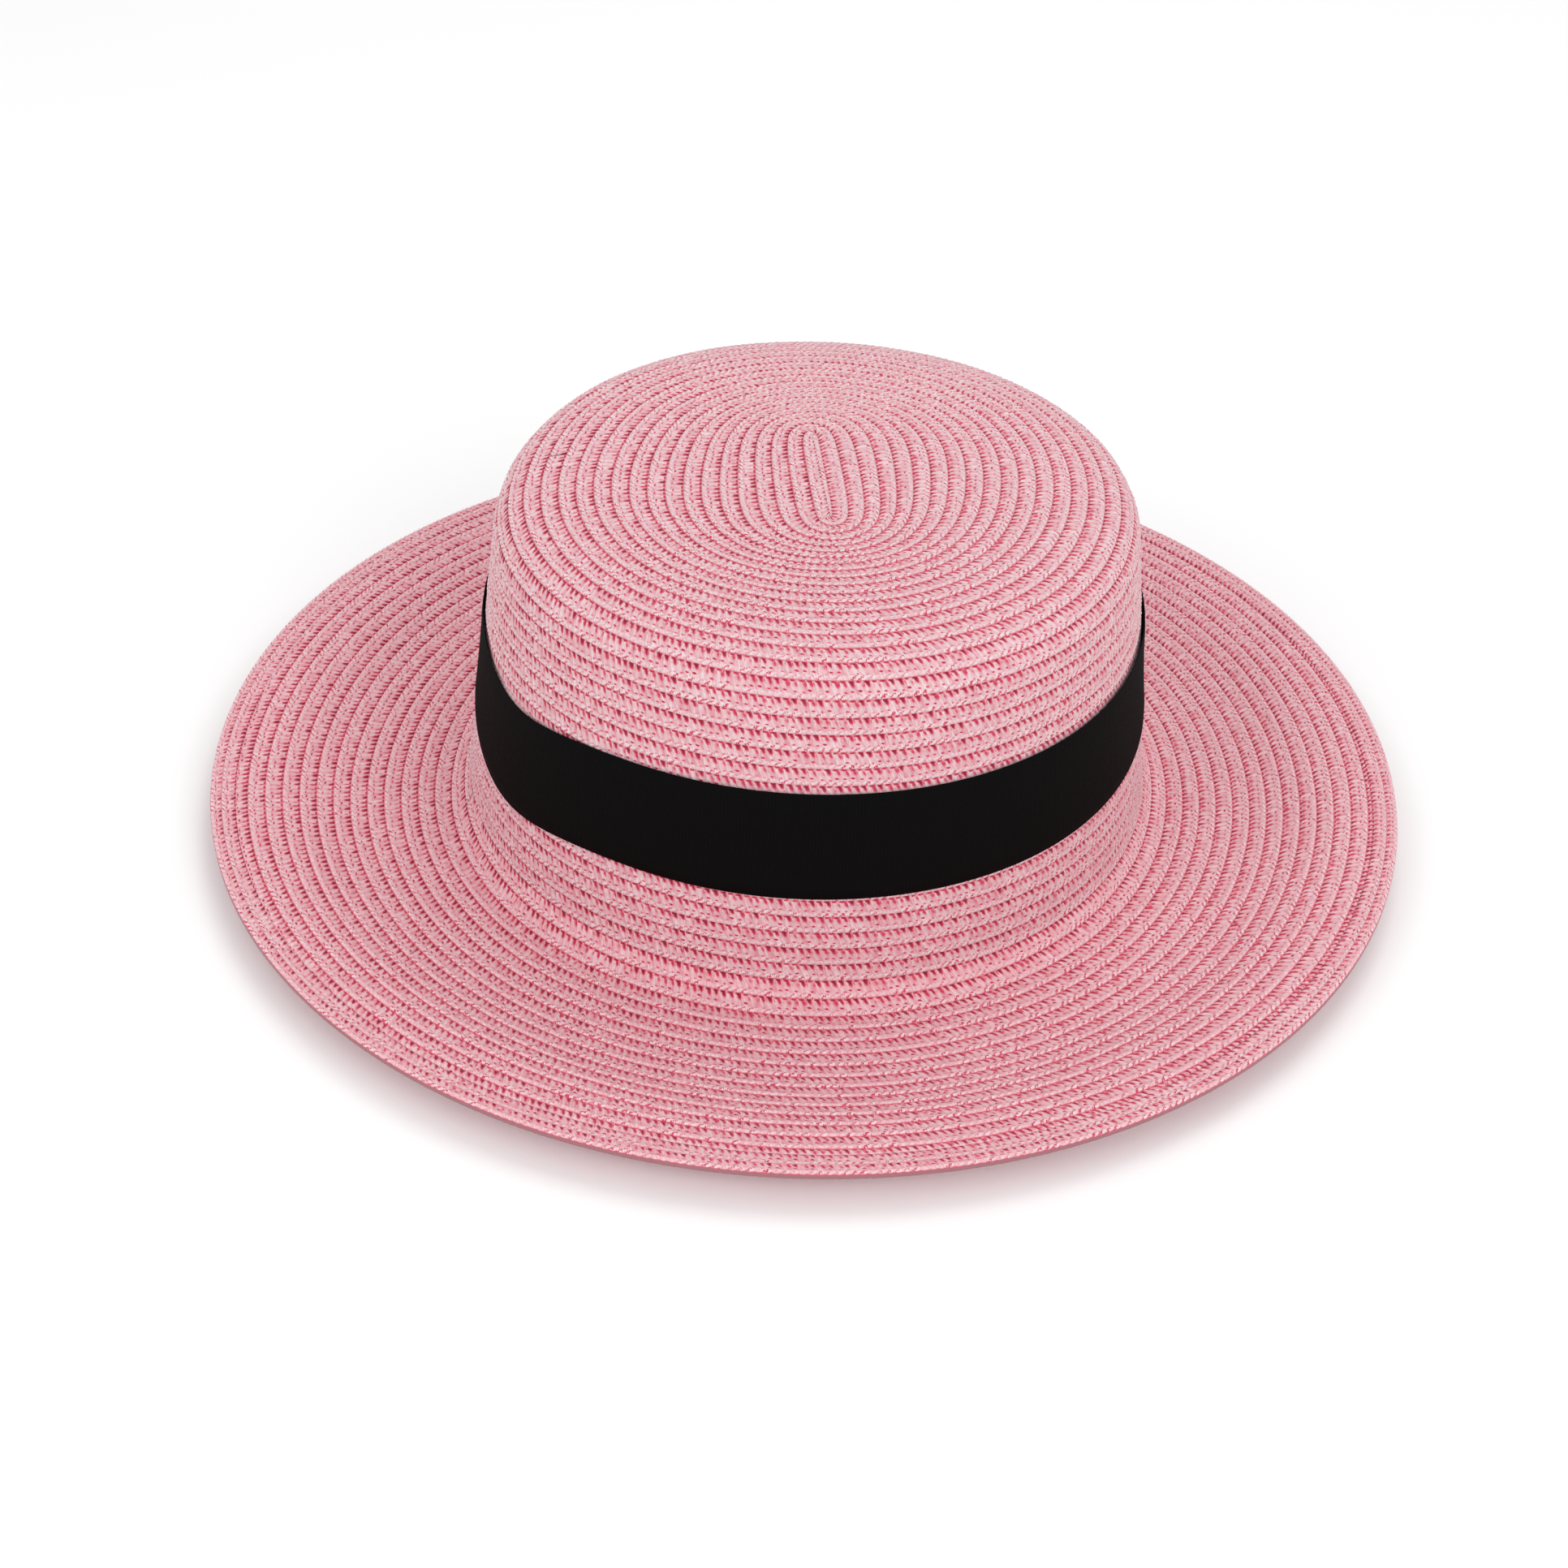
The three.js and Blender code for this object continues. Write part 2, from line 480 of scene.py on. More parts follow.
@dataclass(frozen=True)
class StrawFinish:
    """Dyed paper straw: pale strands and cord, with painted shade of a deep crimson in the slits between
    them.

    Attributes:
        name: Name of the material.
        strand: Colour of the strands across a row.
        pale: Colour of the painted highlight on the strands' crests and on the cord at a row's outer edge,
            and of paler fibres.
        slit: Colour of the painted shade between strands.
        deep: Colour of the painted shade in the deepest slits.
        edge: Colour of the painted shade on the rim's outer side, which the pattern marks with shares over
            1.
        slant: How many stitches the braid's slant covers from edge to edge of a row.
        slit_drift: How far a slit may stray from its place.
        faintest_slit: Darkness of the faintest slit of a kind, as a share of its depth.
        cord_edge: Shares across the row between which the cord comes up.
        shadow_line_middle: Share across the row where the painted shadow line under the row before lies.
        shadow_line_width: Half width of that line, as a share of the row.
        patch_scale: Uneven patches in a metre.
        fibre_scale: Fibres in a stitch and in the width of a row.
        cord_slant: How many stitches the cord's strands would cover from edge to edge of a row.
        relief: Height of the shading's relief.
        relief_strength: How strongly the relief shows.
    """

    name: str
    strand: Colour
    pale: Colour
    slit: Colour
    deep: Colour
    edge: Colour
    slant: float
    slit_drift: float = 0.17
    faintest_slit: float = 0.35
    cord_edge: tuple[float, float] = (0.68, 0.75)
    shadow_line_middle: float = 0.05
    shadow_line_width: float = 0.06
    patch_scale: float = 90.0
    fibre_scale: tuple[float, float] = (5.0, 2.5)
    cord_slant: float = 2.4
    relief: float = 0.25 * MM
    relief_strength: float = 0.5

    def slits(self, nodes: Nodes, stitches: Socket, across: Socket) -> Socket:
        """Paints shade into every kind of slit, each a bell along the row times a bell across it, of random
        depth.

        Args:
            nodes: The material's nodes.
            stitches: Stitches along the slanted strands.
            across: Share across the row.

        Returns:
            The painted shade of all slits together.
        """
        turns = nodes.math("MULTIPLY", stitches, 0.5)
        dark: object = 0.0
        for number, slit in enumerate(STRAW_SLIT_SHADES):
            place = nodes.math("SUBTRACT", turns, slit.phase)
            cell = nodes.math("ROUND", place)
            chance = nodes.speck(nodes.vector(cell, float(number)))
            drift = nodes.math("MULTIPLY", nodes.math("SUBTRACT", chance, 0.5), self.slit_drift)
            offset = nodes.math("ADD", nodes.math("SUBTRACT", place, cell), drift)
            along_bell = nodes.bell(offset, 0.0, slit.width)
            across_bell = nodes.bell(nodes.math("ADD", across, drift), slit.middle, slit.length)
            strength = nodes.math("MULTIPLY_ADD", chance, slit.depth, self.faintest_slit * slit.depth)
            one = nodes.math("MULTIPLY", nodes.math("MULTIPLY", along_bell, across_bell), strength)
            dark = nodes.math("ADD", dark, one)
        return dark

    def row_shadow_line(self, nodes: Nodes, along: Socket, across: Socket, chance: Socket) -> Socket:
        """Paints the shadow under the cord of the row before, as a line broken into a dot for each stitch.

        Args:
            nodes: The material's nodes.
            along: Stitches along the row.
            across: Share across the row.
            chance: Random value of each strand.

        Returns:
            The painted shadow's darkness.
        """
        patch = nodes.noise(nodes.object_place(), self.patch_scale, 1.0)
        dots = nodes.wave(nodes.math("ADD", along, nodes.math("MULTIPLY", chance, 0.3)))
        bell = nodes.bell(across, self.shadow_line_middle, self.shadow_line_width)
        line = nodes.math("MULTIPLY", bell, nodes.math("MULTIPLY_ADD", dots, 1.0, 0.15))
        return nodes.math("MULTIPLY", line, nodes.math("MULTIPLY_ADD", patch, 0.8, 0.55))

    def cord_gap_shade(self, nodes: Nodes, along: Socket, across: Socket, chance: Socket,
                  fibre: Socket) -> Socket:
        """Paints shade into the cord's thin gaps, which slant against the strands, and on its outer side.

        Args:
            nodes: The material's nodes.
            along: Stitches along the row.
            across: Share across the row.
            chance: Random value of each strand.
            fibre: How much a fibre stands out.

        Returns:
            The cord's painted shade, as if it covered the whole row.
        """
        slanted = nodes.math("MULTIPLY_ADD", across, self.cord_slant, along)
        turns = nodes.math("ADD", slanted, nodes.math("MULTIPLY", fibre, 0.4))
        gap = nodes.math("POWER", nodes.wave(turns), 2.5)
        gap = nodes.math("MULTIPLY", gap, nodes.math("MULTIPLY_ADD", chance, 0.7, 0.1))
        # Painted shade on the cord's outer side
        outer_side_shade = nodes.math("MULTIPLY", nodes.step(across, 0.94, 1.0), 0.5)
        return nodes.math("MAXIMUM", gap, outer_side_shade)

    def make(self) -> bpy.types.Material:
        """Builds the material.

        Returns:
            The material.
        """
        nodes = Nodes(self.name)
        along, across = nodes.pattern()
        stitches = nodes.math("SUBTRACT", along, nodes.math("MULTIPLY", across, self.slant))
        crest = nodes.wave(nodes.math("ADD", stitches, 0.5))
        chance = nodes.speck(nodes.vector(nodes.math("ROUND", stitches), 9.0))
        cord = nodes.step(across, *self.cord_edge)
        rib = nodes.math("SUBTRACT", 1.0, cord)
        fibres_along, fibres_across = self.fibre_scale
        fibre_x = nodes.math("MULTIPLY", stitches, fibres_along)
        fibre_y = nodes.math("MULTIPLY", across, fibres_across)
        fibre = nodes.step(nodes.noise(nodes.vector(fibre_x, fibre_y), 1.0, 1.0), 0.32, 0.68)

        # Painted shade: in the gaps between strands, as the shadow under the row before, and on the cord
        line = self.row_shadow_line(nodes, along, across, chance)
        cord_shade = nodes.math("MULTIPLY", cord, self.cord_gap_shade(nodes, along, across, chance, fibre))
        shade = nodes.math("ADD", nodes.math("ADD", self.slits(nodes, stitches, across), line), cord_shade)

        # How pale the straw is: painted highlight on the strands' crests and on the cord, paler fibres, and
        # each strand's own tone
        rib_lit = nodes.math("MULTIPLY_ADD", crest, 0.3, nodes.math("MULTIPLY", fibre, 0.45))
        cord_lit = nodes.math("MULTIPLY", cord, nodes.math("MULTIPLY_ADD", fibre, 0.6, 0.4))
        lit = nodes.math("ADD", nodes.math("MULTIPLY", rib_lit, rib), cord_lit)
        own_tone = nodes.math("MULTIPLY", nodes.math("SUBTRACT", chance, 0.4), 0.4)
        body = nodes.mix(nodes.math("ADD", lit, own_tone, clamp=True), self.strand, self.pale)
        # Painted shade in crimson over the straw, deeper crimson where it is darkest
        slit = nodes.mix(nodes.step(shade, 0.65, 1.4), self.slit, self.deep)
        face = nodes.mix(nodes.step(shade, 0.04, 0.66), body, slit)
        # Painted shade on the rim's outer side, where the pattern runs over 1
        colour = nodes.mix(nodes.step(across, 1.03, 1.1), face, self.edge)
        nodes.link(colour, nodes.shader.inputs["Base Color"])

        relief = nodes.math("ADD", nodes.math("MULTIPLY", crest, rib), nodes.math("MULTIPLY", fibre, 0.5))
        nodes.bump(nodes.math("SUBTRACT", relief, shade), self.relief, self.relief_strength)
        nodes.shader.inputs["Roughness"].default_value = 0.6
        nodes.shader.inputs["Specular IOR Level"].default_value = 0.35
        nodes.shader.inputs["Sheen Weight"].default_value = 0.1
        nodes.shader.inputs["Sheen Roughness"].default_value = 0.5
        return nodes.material


@dataclass(frozen=True)
class RibbonFinish:
    """Black grosgrain: a dull warp over fine weft ribs.

    Attributes:
        name: Name of the material.
        colour: Colour of the yarn.
        paler: How many times paler the painted highlight makes the yarn on the ribs' crests.
        warp_threads: Warp threads across the ribbon.
        yarn_scale: Uneven places of the yarn in a rib and across the ribbon.
        relief: Height of the shading's relief.
        relief_strength: How strongly the relief shows.
    """

    name: str
    colour: Colour
    paler: float = 1.8
    warp_threads: float = 90.0
    yarn_scale: tuple[float, float] = (0.6, 40.0)
    relief: float = 0.08 * MM
    relief_strength: float = 0.6

    def make(self) -> bpy.types.Material:
        """Builds the material.

        Returns:
            The material.
        """
        nodes = Nodes(self.name)
        along, across = nodes.pattern()
        rib = nodes.wave(along)
        warp = nodes.wave(nodes.math("MULTIPLY", across, self.warp_threads))
        yarns_along, yarns_across = self.yarn_scale
        yarn_x = nodes.math("MULTIPLY", along, yarns_along)
        yarn_y = nodes.math("MULTIPLY", across, yarns_across)
        yarn = nodes.noise(nodes.vector(yarn_x, yarn_y), 1.0)
        pale = tuple(self.paler * value for value in self.colour[:3]) + (1.0,)
        # Painted highlight on the ribs' crests, broken up by the uneven yarn
        lit = nodes.math("MULTIPLY", nodes.math("MULTIPLY", rib, yarn), 0.8)
        nodes.link(nodes.mix(lit, self.colour, pale), nodes.shader.inputs["Base Color"])
        relief = nodes.math("ADD", nodes.math("MULTIPLY", rib, 0.7), nodes.math("MULTIPLY", warp, 0.25))
        relief = nodes.math("ADD", relief, nodes.math("MULTIPLY", yarn, 0.2))
        nodes.bump(relief, self.relief, self.relief_strength)
        nodes.link(nodes.math("MULTIPLY_ADD", yarn, 0.2, 0.62), nodes.shader.inputs["Roughness"])
        nodes.shader.inputs["Specular IOR Level"].default_value = 0.05
        return nodes.material


@dataclass(frozen=True)
class SectionPoint:
    """A point across a row of braid.

    Attributes:
        across: Share of the row's width, 0 at the inner edge and 1 at the outer one.
        lift: Height over the hat's face, in millimetres.
        ripple: Height that the strands add at their crests, in millimetres.
    """

    across: float
    lift: float
    ripple: float


UPPER_SECTION = (
    SectionPoint(across=-0.12, lift=-0.3, ripple=0.0),
    SectionPoint(across=0.03, lift=-0.05, ripple=0.16),
    SectionPoint(across=0.2, lift=0.08, ripple=0.32),
    SectionPoint(across=0.42, lift=0.18, ripple=0.3),
    SectionPoint(across=0.66, lift=0.16, ripple=0.2),
    SectionPoint(across=0.78, lift=0.38, ripple=0.16),
    SectionPoint(across=0.91, lift=0.44, ripple=0.18),
    SectionPoint(across=1.02, lift=-0.1, ripple=0.05),
)

UNDER_SECTION = (
    SectionPoint(across=-0.03, lift=0.6, ripple=0.0),
    SectionPoint(across=0.02, lift=0.12, ripple=0.02),
    SectionPoint(across=0.3, lift=0.06, ripple=0.06),
    SectionPoint(across=0.7, lift=0.25, ripple=0.06),
    SectionPoint(across=1.02, lift=0.5, ripple=0.0),
)

STEPS_A_STITCH = 4


@dataclass(frozen=True)
class Spiral:
    """The path of the one long braid, from the middle of the tip to the rim.

    Attributes:
        form: The hat's form.
        stitch: Distance from one strand of the braid to the next.
        slant: How far a strand runs along the row from the inner edge to the outer one.
        start_angle: Where the first turn starts.
        rim_gap: How far short of the rim the braid ends.
        rim_cover: Width at the rim in which the braid is under the rim row.
        rim_depth: How deep it lies there.
        start_lift: Height of the folded start of the braid over the hat's face.
        start_width: How far the folded start reaches to each side.
        unevenness: How much the height of the strands varies from one to the next.
        sway: How far the rows wander up and down.
        sway_lengths: Lengths of the two waves of that wander.
        samples_a_turn: Points a turn at which the path is measured.
        spare_stitches: Random values drawn beyond the path's end.
        seed: Seed of the random values.
        lengths: Length of the path at each measured point.
        turns: Turns made at each measured point.
        uneven: Random value of each stitch.
    """

    form: HatForm
    stitch: float = 1.9 * MM
    slant: float = 1.75 * MM
    start_angle: float = math.radians(-90)
    rim_gap: float = 0.4 * MM
    rim_cover: float = 6 * MM
    rim_depth: float = 0.6 * MM
    start_lift: float = 0.3 * MM
    start_width: float = 1.2 * MM
    unevenness: float = 0.4
    sway: float = 0.05 * MM
    sway_lengths: tuple[float, float] = (7 * MM, 31 * MM)
    samples_a_turn: int = 240
    spare_stitches: int = 50
    seed: int = 7
    lengths: np.ndarray = field(init=False)
    turns: np.ndarray = field(init=False)
    uneven: np.ndarray = field(init=False)

    def __post_init__(self) -> None:
        """Measures the middle of the braid once, from the first turn to the last."""
        last = self.form.rim_run / self.form.sizes.row_pitch + 1
        turns = np.linspace(0, last, int(last * self.samples_a_turn))
        middle = self.points(turns, np.array(0.5), np.array(0.0))
        steps = np.linalg.norm(np.diff(middle, axis=0), axis=1)
        lengths = np.concatenate([[0.0], np.cumsum(steps)])
        stitches = int(lengths[-1] / self.stitch) + self.spare_stitches
        object.__setattr__(self, "turns", turns)
        object.__setattr__(self, "lengths", lengths)
        object.__setattr__(self, "uneven", np.random.default_rng(self.seed).standard_normal(stitches))

    def run(self, turns: np.ndarray, across: np.ndarray) -> np.ndarray:
        """Gives the run along the hat's section: the pitch times the turns and share across, less one."""
        run = self.form.sizes.row_pitch * (turns + across - 1)
        return np.clip(run, 0.0, self.form.rim_run - self.rim_gap)

    def points(self, turns: np.ndarray, across: np.ndarray, depth: np.ndarray) -> np.ndarray:
        """Places points on the braid.

        Args:
            turns: Turns made from the start, which may be a fraction.
            across: Share across the row.
            depth: Distance off the hat's face.

        Returns:
            Points, with x, y and z on the last axis.
        """
        return self.form.place(self.start_angle + math.tau * turns, self.run(turns, across), depth)

    def strip(self, name: str, first: float, last: float, section: tuple[SectionPoint, ...], base: float,
              stride: int, facing: Facing) -> bpy.types.Object:
        """Builds the braid between two turns as one piece.

        The steps along the row fall on the strands' crests and valleys, and the grid leans with the
        strands. Height is the section's lift, plus its ripple times the strands' own wave, which has one
        crest a stitch, plus the rows' sway, a product of two sines. Over the middle of the tip it is drawn
        to one height, as a bell of the way out, and under the rim row it is kept down.

        Args:
            name: Name of the piece.
            first: Turn where it starts.
            last: Turn where it ends.
            section: Points across a row.
            base: Distance of the section's zero from the hat's face.
            stride: Steps of the finest grid in a step of this one.
            facing: Which way the faces look.

        Returns:
            The piece.
        """
        step = self.stitch / STEPS_A_STITCH
        start, end = np.interp([first, last], self.turns, self.lengths)
        lead = math.ceil(self.slant / step) if first == 0 else 0
        index = np.arange(math.floor(start / step) - lead, math.ceil(end / step) + stride, stride)
        across = np.array([point.across for point in section])
        lift = np.array([point.lift for point in section]) * MM
        ripple = np.array([point.ripple for point in section]) * MM
        length = index[:, None] * step + self.slant * across[None, :]
        turns = np.interp(length, self.lengths, self.turns)
        crest = -0.5 * np.cos(math.tau * index / STEPS_A_STITCH)[:, None]
        size = 1 + self.unevenness * self.uneven[np.maximum(index // STEPS_A_STITCH, 0)][:, None]
        short, long = self.sway_lengths
        sway = self.sway * np.sin(length / short) * np.sin(length / long + turns)
        raised = (across > 0) & (across < 1)
        depth = base + lift + ripple * crest * size + sway * raised
        run = self.run(turns, across[None, :])
        depth += (self.start_lift - depth) * np.exp(-(run / self.start_width) ** 2) * (base >= 0)
        covered = run > self.form.rim_run - self.rim_cover
        depth = np.where(covered, np.minimum(depth, -self.rim_depth), depth)
        points = self.points(turns, across[None, :], depth)
        uv = np.stack([length / self.stitch, np.broadcast_to(across, length.shape)], axis=-1)
        return grid_mesh(name, points, uv, facing)


@dataclass
class StrawShell:
    """The sewn straw of the crown and the brim.

    Attributes:
        form: The hat's form.
        crown_finish: Finish of the crown's straw.
        brim_finish: Finish of the brim's straw.
        rim_width: Width of the doubled row at the rim.
        tuck: How far the fine braid goes on behind the ribbon's edges.
        tip_share: Share of the turns over the ribbon that the tip's piece takes.
        brim_share: Share of the brim's turns that the inner piece takes.
        under_lap: Turns that the underside goes on beneath the rim row.
        hidden_stride: Steps of the finest grid in a step of the braid behind the ribbon.
        spiral: The braid's path.
    """

    form: HatForm
    crown_finish: StrawFinish
    brim_finish: StrawFinish
    rim_width: float = 6.2 * MM
    tuck: float = 4 * MM
    tip_share: float = 0.62
    brim_share: float = 0.55
    under_lap: float = 0.4
    hidden_stride: int = 8
    spiral: Spiral = field(init=False)

    def __post_init__(self) -> None:
        """Lays out the spiral on the form."""
        self.spiral = Spiral(self.form)

    def build(self) -> None:
        """Builds every straw piece and dresses it."""
        pitch = self.form.sizes.row_pitch
        ribbon_top = (self.form.ribbon_top_run + self.tuck) / pitch
        ribbon_foot = (self.form.ribbon_foot_run - self.tuck) / pitch
        seam = self.form.seam_run / pitch
        rim = (self.form.rim_run - self.rim_width) / pitch + 1
        mid_tip = self.tip_share * ribbon_top
        mid_brim = seam + self.brim_share * (rim - seam)
        materials = {"crown": self.crown_finish.make(), "brim": self.brim_finish.make()}
        upper = (
            ("tip_braid", 0.0, mid_tip, 1, "crown"),
            ("shoulder_braid", mid_tip, ribbon_top, 1, "crown"),
            ("covered_braid", ribbon_top, ribbon_foot, self.hidden_stride, "crown"),
            ("wall_foot_braid", ribbon_foot, seam, 1, "crown"),
            ("inner_brim_braid", seam, mid_brim, 1, "brim"),
            ("outer_brim_braid", mid_brim, rim, 1, "brim"),
        )
        for name, first, last, stride, node in upper:
            piece = self.spiral.strip(name, first, last, UPPER_SECTION, 0.0, stride, Facing.OUT)
            self.dress(piece, node, materials[node])
        under = (
            ("crown_inside_braid", 0.0, seam, "crown"),
            ("brim_underside_braid", seam, rim + self.under_lap, "brim"),
        )
        base = -self.form.sizes.straw_wall
        for name, first, last, node in under:
            piece = self.spiral.strip(name, first, last, UNDER_SECTION, base, STEPS_A_STITCH, Facing.IN)
            self.dress(piece, node, materials[node])
        self.dress(self.rim_row(), "brim", materials["brim"])

    def rim_row(self) -> bpy.types.Object:
        """Builds the doubled last row, which closes the brim's edge from above to below.

        The section runs over two cords on the upper side, round the rim and back below. It is carried once
        round the oval, with one wave of ripple for each stitch.

        Returns:
            The piece.
        """
        table = np.array([
            # Share of the width in from the rim, height and ripple in millimetres, pattern across (over 1
            # round the rim's outer side, for the finish's painted shade)
            (1.04, -0.5, 0.0, -0.05),
            (0.99, 0.1, 0.05, 0.03),
            (0.88, 0.26, 0.24, 0.22),
            (0.74, 0.32, 0.2, 0.45),
            (0.6, 0.28, 0.14, 0.66),
            (0.53, 0.5, 0.12, 0.8),
            (0.45, 0.52, 0.12, 0.92),
            (0.41, 0.3, 0.08, 0.08),
            (0.3, 0.36, 0.2, 0.3),
            (0.17, 0.4, 0.14, 0.6),
            (0.08, 0.52, 0.18, 0.8),
            (-0.01, 0.3, 0.22, 0.92),
            (-0.03, -0.2, 0.14, 1.12),
            (-0.02, -1.1, 0.08, 1.2),
            (0.04, -1.6, 0.06, 1.12),
            (0.12, -1.8, 0.05, 0.9),
            (0.25, -1.8, 0.05, 0.6),
            (0.6, -1.8, 0.05, 0.3),
            (1.0, -1.45, 0.0, 0.02),
        ])
        share, height, ripple, across = table.T
        turn, lengths = self.form.measure_ring(0.0, self.form.rim_run, 0.0)
        stitches = round(lengths[-1] / self.spiral.stitch)
        index = np.arange(STEPS_A_STITCH * stitches)
        along = index[:, None] / STEPS_A_STITCH + self.spiral.slant / self.spiral.stitch * across
        angle = np.interp((along * lengths[-1] / stitches) % lengths[-1], lengths, turn)
        crest = -0.5 * np.cos(math.tau * index / STEPS_A_STITCH)[:, None]
        run = self.form.rim_run - share * self.rim_width
        rise = MM * (height + ripple * crest)
        points = self.form.place(angle, np.broadcast_to(run, angle.shape), rise)
        uv_along = np.concatenate([along, along[:1] + stitches])
        uv = np.stack([uv_along, np.broadcast_to(across, uv_along.shape)], axis=-1)
        return grid_mesh("rim_row", points, uv, Facing.OUT, closed=True)

    def dress(self, piece: bpy.types.Object, node: str, material: bpy.types.Material) -> None:
        """Gives a straw piece its finish and its place in the model.

        Args:
            piece: The piece.
            node: The solid that it stands for.
            material: Its material.
        """
        piece.data.materials.append(material)
        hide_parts(node)
        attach(piece, "root")
        log.info("%s: %d faces", piece.name, len(piece.data.polygons))


@dataclass
class RibbonBand:
    """The grosgrain ribbon round the crown, whose end laps over its start at the back.

    Attributes:
        form: The hat's form.
        finish: Finish of the ribbon.
        clearance: Gap between the ribbon's inner face and the hat's face.
        thickness: Thickness of the ribbon.
        rib_width: Distance from one rib to the next.
        rib_height: Half the height of a rib.
        start_angle: Where the ribbon starts, at the back.
        lap: Length of the ribbon's end over its start.
        lap_rise: Length in which the end climbs on to the start.
        lap_gap: Gap between the end and the start under it.
        selvedge: Share of the width in which the edges thin out.
        inner_bend: How far the inner face bends out with the edges, as a share.
        looseness: How far the edges stand off at the front and back, and how much further at the sides.
        edge_reach: How far in the upper and the lower edge stand off, as shares of the width.
        waviness: How far the edges wave in and out, and how far the ribbon sways up and down.
        drop: How much lower the ribbon has slipped at the left of the front.
        drop_angle: Where it is lowest.
        drop_width: How far round it has slipped.
        rows_across: Points across the ribbon.
    """

    form: HatForm
    finish: RibbonFinish
    clearance: float = 0.45 * MM
    thickness: float = 0.55 * MM
    rib_width: float = 0.8 * MM
    rib_height: float = 0.04 * MM
    start_angle: float = math.pi / 2
    lap: float = 12 * MM
    lap_rise: float = 3 * MM
    lap_gap: float = 0.05 * MM
    selvedge: float = 0.02
    inner_bend: float = 0.4
    looseness: tuple[float, float] = (0.1 * MM, 0.45 * MM)
    edge_reach: tuple[float, float] = (0.2, 0.15)
    waviness: tuple[float, float] = (0.12 * MM, 0.25 * MM)
    drop: float = 4.8 * MM
    drop_angle: float = math.radians(218)
    drop_width: float = math.radians(17)
    rows_across: int = 12

    def off_face(self, angle: np.ndarray, share: np.ndarray, across: np.ndarray) -> np.ndarray:
        """Gives the ribbon's distance off the hat's face, before the lap.

        The outer face is a thickness out, less half of it at the selvedges. The edges stand off as an
        exponential of the way in, the lower one half as far, and most at the sides of the hat. Every second
        point is a rib's crest.

        Args:
            angle: Angle round the hat, as a column.
            share: Shares across the ribbon.
            across: The same shares out along the outer face and back along the inner one.

        Returns:
            Distances by angle and by point across.
        """
        body = 1 - 0.5 * np.maximum(np.exp(-share / self.selvedge), np.exp(-(1 - share) / self.selvedge))
        rise = np.concatenate([body, self.inner_bend * (1 - body), body[:1]])
        outer = np.concatenate([np.ones_like(share), np.zeros_like(share), [1.0]])
        ribs = self.rib_height * np.cos(math.pi * np.arange(len(angle)))[:, None] * outer
        least, more = self.looseness
        sides = 0.5 + 0.5 * np.cos(2 * angle)
        upper, lower = self.edge_reach
        edges = np.exp(-across / upper) + 0.5 * np.exp(-(1 - across) / lower)
        loose = (least + more * sides + self.waviness[0] * np.sin(3 * angle + 0.7)) * edges
        return self.clearance + self.thickness * rise + ribs + loose

    def run(self, angle: np.ndarray, across: np.ndarray) -> np.ndarray:
        """Gives the run along the hat's section, with a slow sway and a bell where the ribbon has slipped.

        Args:
            angle: Angle round the hat, as a column.
            across: Share across the ribbon.

        Returns:
            Runs by angle and by point across.
        """
        top, foot = self.form.ribbon_top_run, self.form.ribbon_foot_run
        sway = self.waviness[1] * np.sin(2 * angle + 1.1)
        away = (angle - self.drop_angle) % math.tau
        away = np.minimum(away, math.tau - away)
        slip = self.drop * np.exp(-(away / self.drop_width) ** 2)
        return top + (foot - top) * across + sway + slip

    def build(self) -> None:
        """Builds the ribbon as a thin closed strip, and dresses it."""
        middle = (self.form.ribbon_top_run + self.form.ribbon_foot_run) / 2
        turn, lengths = self.form.measure_ring(self.start_angle, middle, self.clearance)
        total = lengths[-1] + self.lap
        columns = 2 * round(total / self.rib_width)
        along = np.linspace(0, total, columns + 1)
        angle = (self.start_angle + np.interp(along % lengths[-1], lengths, turn))[:, None]
        share = np.linspace(0, 1, self.rows_across)
        across = np.concatenate([share, share[::-1], share[:1]])
        over = np.clip((along - lengths[-1] + self.lap_rise) / self.lap_rise, 0, 1)
        depth = self.off_face(angle, share, across) + (self.thickness + self.lap_gap) * over[:, None]
        points = self.form.place(angle, self.run(angle, across), depth)
        uv = np.stack(np.broadcast_arrays(along[:, None] / self.rib_width, across[None, :]), axis=-1)
        piece = grid_mesh("ribbon", points, uv, Facing.OUT)
        piece.data.materials.append(self.finish.make())
        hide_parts("ribbon_band")
        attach(piece, "root")
        log.info("%s: %d faces", piece.name, len(piece.data.polygons))


@dataclass(frozen=True)
class Lamp:
    """A square soft lamp that faces the hat.

    Attributes:
        name: Name of the lamp.
        place: Where it stands.
        power: Power in watts.
        size: Side of its face.
    """

    name: str
    place: tuple[float, float, float]
    power: float
    size: float


LAMPS = (
    Lamp("right lamp", (1.0, -1.2, 0.95), power=8.2, size=1.0),
    Lamp("left lamp", (-1.0, -1.2, 0.95), power=6.2, size=1.0),
    Lamp("top lamp", (0.2, 0.5, 1.5), power=4.8, size=0.8),
)


